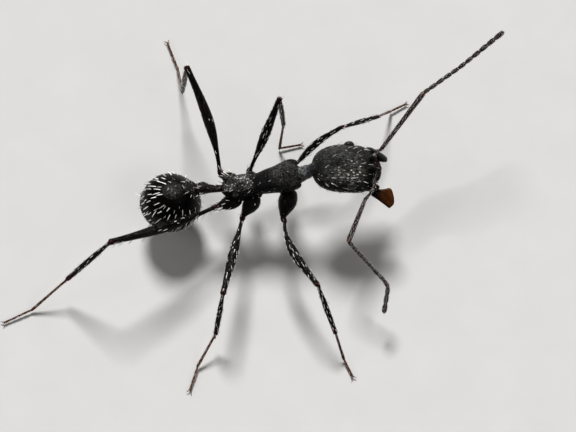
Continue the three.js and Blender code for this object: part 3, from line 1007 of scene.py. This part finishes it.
PETIOLE_STATIONS = [
    (-0.46, 0.13, 0.04, -0.11),
    (-0.30, 0.16, 0.11, -0.14),
    (-0.13, 0.16, 0.29, -0.15),
    (0.06, 0.105, 0.10, -0.11),
    (0.44, 0.095, 0.07, -0.10),
]
POSTPETIOLE_STATIONS = [
    (-0.24, 0.19, 0.17, -0.17),
    (0.0, 0.22, 0.24, -0.20),
    (0.22, 0.13, 0.11, -0.13),
]


def petiole():
    stem = smoothed(lofted("stem", body_rings(PETIOLE_STATIONS, (10, 10), 18, 0.0), 16), 1)
    keel = ball("keel", (0.22, 0.03, 0.06), (0.18, 0, -0.12))
    skin = fused("petiole_shell", 0.014, stem, keel)
    # Painted sheen on the top.
    laid(skin, (even(0.3), sheen_on_top(0.4)), PETIOLE_CENTRE, BODY_YAW - 6, 2)
    return hand_over(skin, trunk_black, "petiole")


def postpetiole():
    knot = body_rings(POSTPETIOLE_STATIONS, (3, 3), 14, 0.0)
    skin = smoothed(lofted("postpetiole_shell", knot, 16), 2)
    # Painted sheen on the top.
    laid(skin, (even(0.1), sheen_on_top(0.35)), POSTPETIOLE_CENTRE, GASTER_YAW, -12)
    return hand_over(skin, trunk_black, "postpetiole")


GASTER_STATIONS = [
    (-GASTER_LENGTH / 2, 0.50, 0.50, -0.54),
    (-0.2, 0.72, 0.75, -0.80),
    (0.25, 0.74, 0.80, -0.80),
    (GASTER_LENGTH / 2, 0.62, 0.66, -0.64),
]
# The gaster's plates: where each ends and starts, and how far it lies inside the solid.
FIRST_PLATE = (PLATE_EDGE, 0.95, 0.01)
REAR_PLATES = {
    "second": (-0.62, -0.30, 0.028),
    "third": (-0.79, -0.55, 0.044),
    "last": (-0.93, -0.72, 0.060),
}


def above_middle(place):
    """How far a point on the gaster's own axes is above the level line through its middle."""
    tilt = math.radians(GASTER_PITCH)
    return place[0] * math.sin(tilt) + place[2] * math.cos(tilt)


def gaster_plate(name, rear, front, inset):
    """One overlapping plate of the gaster, rounded in at its rear edge."""
    half = GASTER_LENGTH / 2
    rings = body_rings(GASTER_STATIONS, (2.3, 2.3), 22, inset, (rear / half, front / half))
    edge, _, up, half_width, half_height = rings[0]
    lip = [(edge + 0.012, 0, up, 0.90 * half_width, 0.90 * half_height),
           (edge - 0.006, 0, up, 0.965 * half_width, 0.965 * half_height)]
    plate = smoothed(lofted(name, lip + rings[1:], 28), 2)

    def warmth(p, out):
        """Brown at the rear edge and on the side that faces down. The brown below is partly the
        gaster's own colour and partly a painted reflection of the ground.
        """
        return max(0.8 * between(edge - p[0], -0.05, 0.0), 0.8 * between(-p[2], 0.55, 0.78),
                   0.6 * between(-above_middle(p), 0.3, 0.7))

    # Painted highlight on the top of the gaster near its front.
    def bloom(p, out):
        return between(above_middle(p), 0.765, 0.87)

    return laid(plate, (warmth, bloom), GASTER_CENTRE, GASTER_YAW, -GASTER_PITCH)


def gaster():
    """The first plate covers two thirds of the gaster, and three short plates close its tip."""
    first = gaster_plate("gaster_first_plate", *FIRST_PLATE)
    rear = [gaster_plate(name, *plate) for name, plate in REAR_PLATES.items()]
    hand_over(joined("gaster_rear_plates", *rear), gaster_black, "gaster_tip")
    return hand_over(first, gaster_black, "gaster_front")


# ---------------------------------------------------------------- legs

def segment(name, length, stations, warmth, levels=2):
    """A limb segment of a given length, modelled once and fitted to each limb. Its stations are
    (share of the length, radius), and its widest radius is 1."""
    cage = turned(name, [(share * length, radius) for share, radius in stations])
    piece = smoothed(cage, levels)
    keep_shades(piece, lambda p, out: warmth(between(p[0], 0, length)))
    piece["length"] = length
    return piece


def fitted(pattern, name, start, end, radius):
    """A copy of a segment, drawn to its length and thickness, and laid from start to end."""
    piece = pattern.copy()
    piece.data = pattern.data.copy()
    named(piece, name)
    bpy.context.collection.objects.link(piece)
    piece.scale = ((end - start).length / pattern["length"], radius, radius)
    apply_place(piece)
    keep_own_place(piece)
    return aimed(piece, start, end)


def ends_warm(base, knee):
    """Reddish towards both ends: as far as base at the near end and from knee at the far end."""
    return lambda t: max(between(base - t, 0, 0.08), between(t - knee, 0, 0.05))


coxa_form = segment(
    "coxa_form", 3.0,
    [(0, 0.72), (0.18, 0.94), (0.38, 1.0), (0.6, 0.88), (0.78, 0.62), (0.92, 0.42), (1, 0.34)],
    ends_warm(-0.2, 0.93))
trochanter_form = segment(
    "trochanter_form", 3.0, [(0, 0.62), (0.3, 0.98), (0.55, 1.0), (0.8, 0.8), (1, 0.6)],
    lambda t: 0.35)
tibia_form = segment(
    "tibia_form", 16.0,
    [(0, 0.78), (0.04, 0.72), (0.10, 0.62), (0.2, 0.76), (0.36, 0.95), (0.55, 1.0), (0.75, 0.92),
     (0.9, 0.82), (0.97, 0.9), (1, 0.86)],
    ends_warm(0.08, 0.86))
tarsus_form = segment(
    "tarsus_form", 8.0, [(0, 0.80), (0.1, 0.78), (0.4, 0.80), (0.8, 0.92), (0.96, 1.0), (1, 0.9)],
    lambda t: 0.3, levels=1)
whip_form = segment(
    "whip_form", 3.4,
    [(0, 0.58), (0.07, 0.78), (0.2, 0.93), (0.5, 1.0), (0.8, 0.98), (0.93, 0.84), (1, 0.6)],
    lambda t: max(0, 0.5 - 6 * t))
FEMUR_STATIONS = [
    (0, 0.40), (0.05, 0.37), (0.13, 0.40), (0.22, 0.56), (0.32, 0.83), (0.42, 1.0), (0.52, 1.0),
    (0.64, 0.88), (0.76, 0.72), (0.88, 0.60), (0.96, 0.58), (1, 0.64)]


def femur_shaft(start, end, radius, bow, peak):
    """A swollen femur whose middle line bows sideways between its joints."""
    length = (end - start).length
    sideways = (end - start).to_track_quat("X", "Z").inverted() @ Vector(bow)
    power = math.log(0.5) / math.log(peak)
    rings = []
    for share, swelling in FEMUR_STATIONS:
        off = sideways * math.sin(math.pi * share ** power)
        rings.append((share * length + off.x, off.y, off.z, swelling * radius, swelling * radius))
    first, last = rings[0], rings[-1]
    near = [(first[0] - 0.4 * first[3], 0, 0, 0.45 * first[3], 0.45 * first[3])]
    far = [(last[0] + share * last[3], 0, 0, size * last[3], size * last[3])
           for share, size in ((0.3, 0.8), (0.5, 0.45))]
    piece = smoothed(lofted("thigh", near + rings + far, 12), 2)
    warmth = ends_warm(0.03, 0.96)
    keep_shades(piece, lambda p, out: warmth(between(p[0], 0, length)))
    keep_own_place(piece)
    return aimed(piece, start, end)


CLAW_RINGS = [(0.0, 0, 0.0, 0.30, 0.34), (0.35, 0, 0.08, 0.26, 0.30), (0.75, 0, 0.06, 0.2, 0.24),
              (1.1, 0, -0.1, 0.13, 0.16), (1.35, 0, -0.38, 0.05, 0.07)]
claw_form = smoothed(lofted("claw_form", CLAW_RINGS, 8), 1)
claw_form["length"] = 1.0
keep_shades(claw_form, even(0.6))

UP = Vector((0, 0, 1))
OVERLAP = 0.03                            # how far a segment runs into the one before it
COXA_STOP = 0.03                          # share of a coxa by which it stops short of the hip
TROCHANTER_LENGTH, TROCHANTER_RADIUS = 0.17, 0.082
FIRST_JOINT_RADIUS, TOE_RADIUS, SPUR_RADIUS = 0.040, 0.032, 0.016
TOE_SHARES = (0.30, 0.22, 0.17, 0.31)     # lengths of the second to fifth joints of a foot
CLAW_LENGTH, CLAW_RADIUS = 0.09, 0.055
LEG_STRIPS = 4                            # coxa, femur, tibia and foot on a leg coat's map


def foot(name, ankle, heel, toe):
    """The long first joint of the foot, four short ones, and a pair of claws."""
    parts = [fitted(tarsus_form, "first_joint", ankle, heel, FIRST_JOINT_RADIUS)]
    start = heel
    for share in TOE_SHARES:
        end = start + (toe - heel) * share
        parts.append(fitted(tarsus_form, "joint", start, end, TOE_RADIUS))
        start = end
    forward = (toe - heel).normalized()
    across = forward.cross(UP).normalized()
    for side in (1, -1):
        tip = toe + (forward * 0.8 + across * side * 0.6) * CLAW_LENGTH
        parts.append(fitted(claw_form, "claw", toe, tip, CLAW_RADIUS))
    return hand_over(joined(f"foot_shell_{name}", *parts), foot_brown, f"foot_{name}")


def leg(name, joints, seed):
    """One leg with its coat. The hip carries the small trochanter."""
    root, hip, knee, ankle, heel, toe = (Vector(joint) for joint in joints)
    coxa_radius, femur_radius, tibia_radius = LEG_RADII[name]
    pair, side = name.split("_")
    coxa_number, femur_number, tibia_number = LEG_HAIRS[pair]
    outward = (knee - hip).normalized()
    bead = hip + outward * TROCHANTER_LENGTH
    coxa_end = hip - (hip - root) * COXA_STOP
    coxa = fitted(coxa_form, f"coxa_shell_{name}", root, coxa_end, coxa_radius)
    trochanter = fitted(trochanter_form, "trochanter", hip - outward * OVERLAP, bead,
                        TROCHANTER_RADIUS)
    thigh = femur_shaft(bead - outward * OVERLAP, knee, femur_radius, *FEMUR_BOWS[name])
    shin = fitted(tibia_form, "shin", knee, ankle, tibia_radius)
    spur_tip = ankle + (ankle - knee).normalized() * 0.10 - UP * 0.10
    spur = fitted(tarsus_form, "spur", ankle - UP * 0.02, spur_tip, SPUR_RADIUS)
    coats = []

    def grow(piece, start, end, strip, number, length, step, **ways):
        coats.append(limb_hairs(piece, start, end, strip, LEG_STRIPS, number, length, seed + step,
                                **ways))

    grow(coxa, root, hip, 0, coxa_number, 0.10, 0, apart=0.08)
    grow(trochanter, hip, bead, 1, 9, 0.12, 10, apart=0.04)
    grow(thigh, bead, knee, 1, femur_number, 0.12, 20, apart=0.07, radius=0.0085, stand=24)
    if pair == "hind":
        below = Vector((0, -0.8 if side == "right" else 0.8, -0.6))
        grow(coxa, root, hip, 0, 12, 0.20, 50, apart=0.06, radius=0.017, stand=42,
             where=lambda place, out, luck: (Vector(place) - hip).length < 0.3)
        grow(thigh, bead, knee, 1, 22, 0.17, 60, apart=0.08, radius=0.009, stand=52,
             where=lambda place, out, luck: below.dot(out) > 0.85)
    # Painted highlight: a dense row of flat pale hairs stands for the femur's highlight line.
    if name == "mid_left":
        ridge = Vector((-0.75, 0.1, 0.65))
        grow(thigh, bead, knee, 1, 90, 0.10, 70, apart=0.035, radius=0.0095, stand=9,
             where=lambda place, out, luck: ridge.dot(out) > 0.85)
        grow(thigh, bead, knee, 1, 26, 0.11, 80, apart=0.03, radius=0.011, stand=10,
             where=lambda place, out, luck: (
                 ridge.dot(out) > 0.6 and (Vector(place) - bead).length < 0.7))
    grow(shin, knee, ankle, 2, tibia_number, 0.10, 30, stand=28, radius=0.007, apart=0.055)

    hand_over(coxa, leg_black, f"coxa_{name}")
    hand_over(joined(f"femur_shell_{name}", thigh, trochanter), leg_black, f"femur_{name}")
    hand_over(joined(f"tibia_shell_{name}", shin, spur), leg_black, f"tibia_{name}")
    tarsus = foot(name, ankle, heel, toe)
    grow(tarsus, ankle, toe, 3, 90, 0.05, 40, radius=0.0035, stand=30, apart=0.03,
         where=above(-0.5))
    coat(f"coat_leg_{name}", coats)


# ---------------------------------------------------------------- feelers

FEELER_NODES = {"left": 2, "right": 3}
FEELER_STRIPS = 2                         # scape and whip on a feeler coat's map
SCAPE_ENTRY = {"left": 0.17, "right": 0.36}   # share of the scape where its bent base joins it
SCAPE_BENDS = {"left": (0.74, 0.40, 0.22), "right": (0.64, -0.585, 0.13)}
SCAPE_STATIONS = ((0, 0.052), (0.12, 0.055), (0.4, 0.061), (0.7, 0.066), (0.92, 0.073),
                  (0.98, 0.070), (1, 0.060))
WHIP_SHARES = [0.8] + [1.0] * 6 + [1.08] * 3 + [1.25]   # relative lengths of the whip's joints
WHIP_RADIUS = 0.056
CLUB_JOINTS = 4                           # the last joints of the whip, which thicken evenly
CLUB_SWELLING = 0.012                     # how much thicker the last one is
JOINT_GAP = 0.02                          # share of a joint between it and the next


def along_path(points, distance):
    """The point at a distance along straight lines through the points."""
    for start, end in zip(points, points[1:]):
        length = (end - start).length
        if distance <= length:
            return start.lerp(end, distance / length)
        distance -= length
    return points[-1]


def scape(name, base, elbow):
    """The long first joint of a feeler. Its bent base rises from the socket over the cheek, and
    its elbow is brownish."""
    side = 1 if name == "left" else -1
    turn = (elbow - base).to_track_quat("X", "Z").inverted()
    entry = base.lerp(elbow, SCAPE_ENTRY[name])
    root, bend, entry = (turn @ (point - base)
                         for point in (on_head(*socket(side)), on_head(*SCAPE_BENDS[name]), entry))
    length = (elbow - base).length
    reach = length - entry.x
    shaft = turned("shaft", [(entry.x + share * reach, radius) for share, radius in SCAPE_STATIONS])
    base_parts = [spike("bent_base", start, end, radius) for start, end, radius in (
        (bend, root, 0.052), (root, bend, 0.048), (bend, entry, 0.056), (entry, bend, 0.056))]
    base_parts += [ball("bead", (radius, radius, radius), centre)
                   for radius, centre in ((0.066, root), (0.050, bend))]
    piece = fused(f"scape_shell_{name}", 0.012, smoothed(shaft, 2), *base_parts)
    keep_shades(piece, lambda p, out: between(p[0], 0.97 * length, 0.99 * length), even(0.45))
    keep_own_place(piece)
    return aimed(piece, base, elbow)


def feeler(name, bends, seed):
    """A long scape and a whip of eleven joints, with a soft club of four at the end."""
    base, elbow, *rest = (Vector(point) for point in bends)
    shaft = scape(name, base, elbow)
    hand_over(shaft, feeler_grey, f"scape_{name}")
    coats = [limb_hairs(shaft, base, elbow, 0, FEELER_STRIPS, 260, 0.05, seed, radius=0.0035,
                        stand=26, apart=0.04)]
    path = [elbow] + rest
    whole = sum((b - a).length for a, b in zip(path, path[1:]))
    step = whole / sum(WHIP_SHARES)
    travelled = 0.0
    groups = [[] for _ in range(FEELER_NODES[name])]
    for i, share in enumerate(WHIP_SHARES):
        start = along_path(path, travelled)
        travelled += share * step
        end = along_path(path, travelled - JOINT_GAP * step)
        club = CLUB_SWELLING * max(0, i + 1 + CLUB_JOINTS - len(WHIP_SHARES)) / CLUB_JOINTS
        joint = fitted(whip_form, "whip_joint", start, end, WHIP_RADIUS + club)
        coats.append(limb_hairs(joint, start, end, 1, FEELER_STRIPS, 56, 0.045, seed + 7 * i,
                                radius=0.0035, stand=32, apart=0.035))
        groups[i * len(groups) // len(WHIP_SHARES)].append(joint)
    for index, joints in enumerate(groups, 1):
        whip = joined(f"whip_shell_{name}_{index}", *joints)
        hand_over(whip, feeler_grey, f"feeler_{name}_{index}")
    coat(f"coat_feeler_{name}", coats)


# ---------------------------------------------------------------- the ant

head_shell = head()
eye(1, "left")
eye(-1, "right")
# The left jaw is blackened all over with painted shade.
mandible(1, "left", on_head(0.62, 0.55, -0.10), -11, 32, 0.92, 0.06, 1.0)
mandible(-1, "right", on_head(0.68, -0.52, -0.20), 50, 10, 1.08, 0.02, 0.0)
palps()
neck()
trunk_shell = trunk()
petiole_shell = petiole()
postpetiole_shell = postpetiole()
gaster_shell = gaster()
for order, (leg_name, leg_joints) in enumerate(LEGS.items()):
    leg(leg_name, leg_joints, 100 + 60 * order)
for order, (feeler_name, feeler_bends) in enumerate(FEELERS.items()):
    feeler(feeler_name, feeler_bends, 900 + 90 * order)


# Which places of a skin carry a patch of bristles. Luck is a random share for each place.

def behind_face(place):
    """Whether a place on the head is behind the clypeus and the feelers' sockets."""
    return (Vector(place) - HEAD_CENTRE).dot(on_head(1, 0, 0) - HEAD_CENTRE) < 0.5


def head_sides(place, outward, luck):
    return abs(outward[1]) > 0.5 and outward[2] > -0.4 and behind_face(place)


def head_top(place, outward, luck):
    return outward[2] > 0.4 and behind_face(place)


def behind_dome(place, outward, luck):
    """Whether a place is on the back of the trunk, behind its dome."""
    return outward[2] > 0.3 and (Vector(place) - on_trunk(0.2, 0, 0)).dot(
        on_trunk(1, 0, 0) - on_trunk(0, 0, 0)) < 0


def bristly(place, outward, luck):
    """The bristles of the gaster leave its front end bare, and thin out on its underside."""
    ahead = (Vector(place) - GASTER_CENTRE).dot(on_gaster(1, 0, 0) - GASTER_CENTRE)
    return ahead < 0.68 and luck < 0.3 + 0.7 * between(outward[2], -0.5, 0.3)


body_coat("coat_head", head_shell, on_head(-0.85, 0, 0), on_head(0.85, 0, 0),
          [(110, 0.06, 0.0038, 18, 0.09, None),
           (34, 0.13, 0.0075, 34, 0.11, head_sides),
           (12, 0.13, 0.0055, 50, 0.18, head_top)], 2000)
body_coat("coat_trunk", trunk_shell, on_trunk(1.1, 0, 1.6), on_trunk(-1.1, 0, 1.6),
          [(60, 0.045, 0.0038, 20, 0.09, None),
           (8, 0.13, 0.006, 58, 0.2, behind_dome)], 2100)
body_coat("coat_petiole", petiole_shell, PETIOLE_CENTRE + Vector((0.46, 0, 0)),
          PETIOLE_CENTRE - Vector((0.46, 0, 0)),
          [(22, 0.10, 0.008, 50, 0.07, above(-0.2))], 2200)
body_coat("coat_postpetiole", postpetiole_shell, POSTPETIOLE_CENTRE + Vector((0.3, 0, 0)),
          POSTPETIOLE_CENTRE - Vector((0.3, 0, 0)),
          [(24, 0.11, 0.008, 48, 0.08, None)], 2300)
body_coat("coat_gaster", gaster_shell, on_gaster(0.95, 0, 0), on_gaster(-0.95, 0, 0),
          [(150, 0.20, 0.0140, 24, 0.135, bristly),
           (70, 0.12, 0.0055, 16, 0.12, None)], 2400)

for form in (coxa_form, trochanter_form, tibia_form, tarsus_form, whip_form, claw_form):
    bpy.data.objects.remove(form)

for made_piece, slot_name, solid_nodes in waiting:
    settle(made_piece)
    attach(made_piece, BODY)
    if solid_nodes:
        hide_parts(*solid_nodes)


# ---------------------------------------------------------------- floor, light and camera

CAMERA_ELEVATION = 66                     # degrees
CAMERA_TARGET = Vector((0.835, -0.67, 1.5))
LENS = 480.0
SENSOR_WIDTH = 36.0
SEEN_WIDTH = 14.4                         # width of the view at the ant


def floor():
    """A plain pale floor with a faint grain."""
    bpy.ops.mesh.primitive_plane_add(size=2.0, location=(0, 0, 0))
    ground = bpy.context.object
    ground.name = "pale_floor"
    material, tree, surface = new_material("pale_floor")
    place = node(tree, "TexCoord", {})["Object"]
    grain = node(tree, "TexNoise", {"Scale": 900, "Vector": place})["Fac"]
    feed(tree, surface, {
        "Base Color": mixed(tree, grain, (0.47, 0.465, 0.455), (0.51, 0.505, 0.495)),
        "Roughness": 0.9})
    ground.data.materials.append(material)


def soft_light(name, toward, spread, strength):
    """Even soft light from one direction, spread over an angle in degrees."""
    data = bpy.data.lights.new(name, "SUN")
    data.angle = math.radians(spread)
    data.energy = strength
    lamp = bpy.data.objects.new(name, data)
    lamp.rotation_euler = Vector(toward).to_track_quat("Z", "Y").to_euler()
    bpy.context.collection.objects.link(lamp)


def camera():
    """Looks down along +Y through a long lens."""
    elevation = math.radians(CAMERA_ELEVATION)
    back = Vector((0, -math.cos(elevation), math.sin(elevation)))
    data = bpy.data.cameras.new("camera")
    data.lens = LENS
    data.sensor_width = SENSOR_WIDTH
    data.clip_start = 0.005
    data.clip_end = 2.0
    eye_point = bpy.data.objects.new("camera", data)
    eye_point.location = (CAMERA_TARGET + back * SEEN_WIDTH * LENS / SENSOR_WIDTH) * MM
    eye_point.rotation_euler = (-back).to_track_quat("-Z", "Y").to_euler()
    bpy.context.collection.objects.link(eye_point)
    bpy.context.scene.camera = eye_point


floor()
soft_light("key_light", (-0.1, 0.65, 0.75), 16, 4.9)
soft_light("fill_light", (0.5, -0.5, 0.7), 30, 0.5)
soft_light("side_light", (-0.8, -0.1, 0.6), 30, 0.4)
camera()

sky = bpy.data.worlds.new("studio")
sky.use_nodes = True
sky.node_tree.nodes["Background"].inputs["Color"].default_value = (1.0, 0.98, 0.95, 1)
sky.node_tree.nodes["Background"].inputs["Strength"].default_value = 0.12
bpy.context.scene.world = sky
bpy.context.scene.view_settings.view_transform = "Standard"
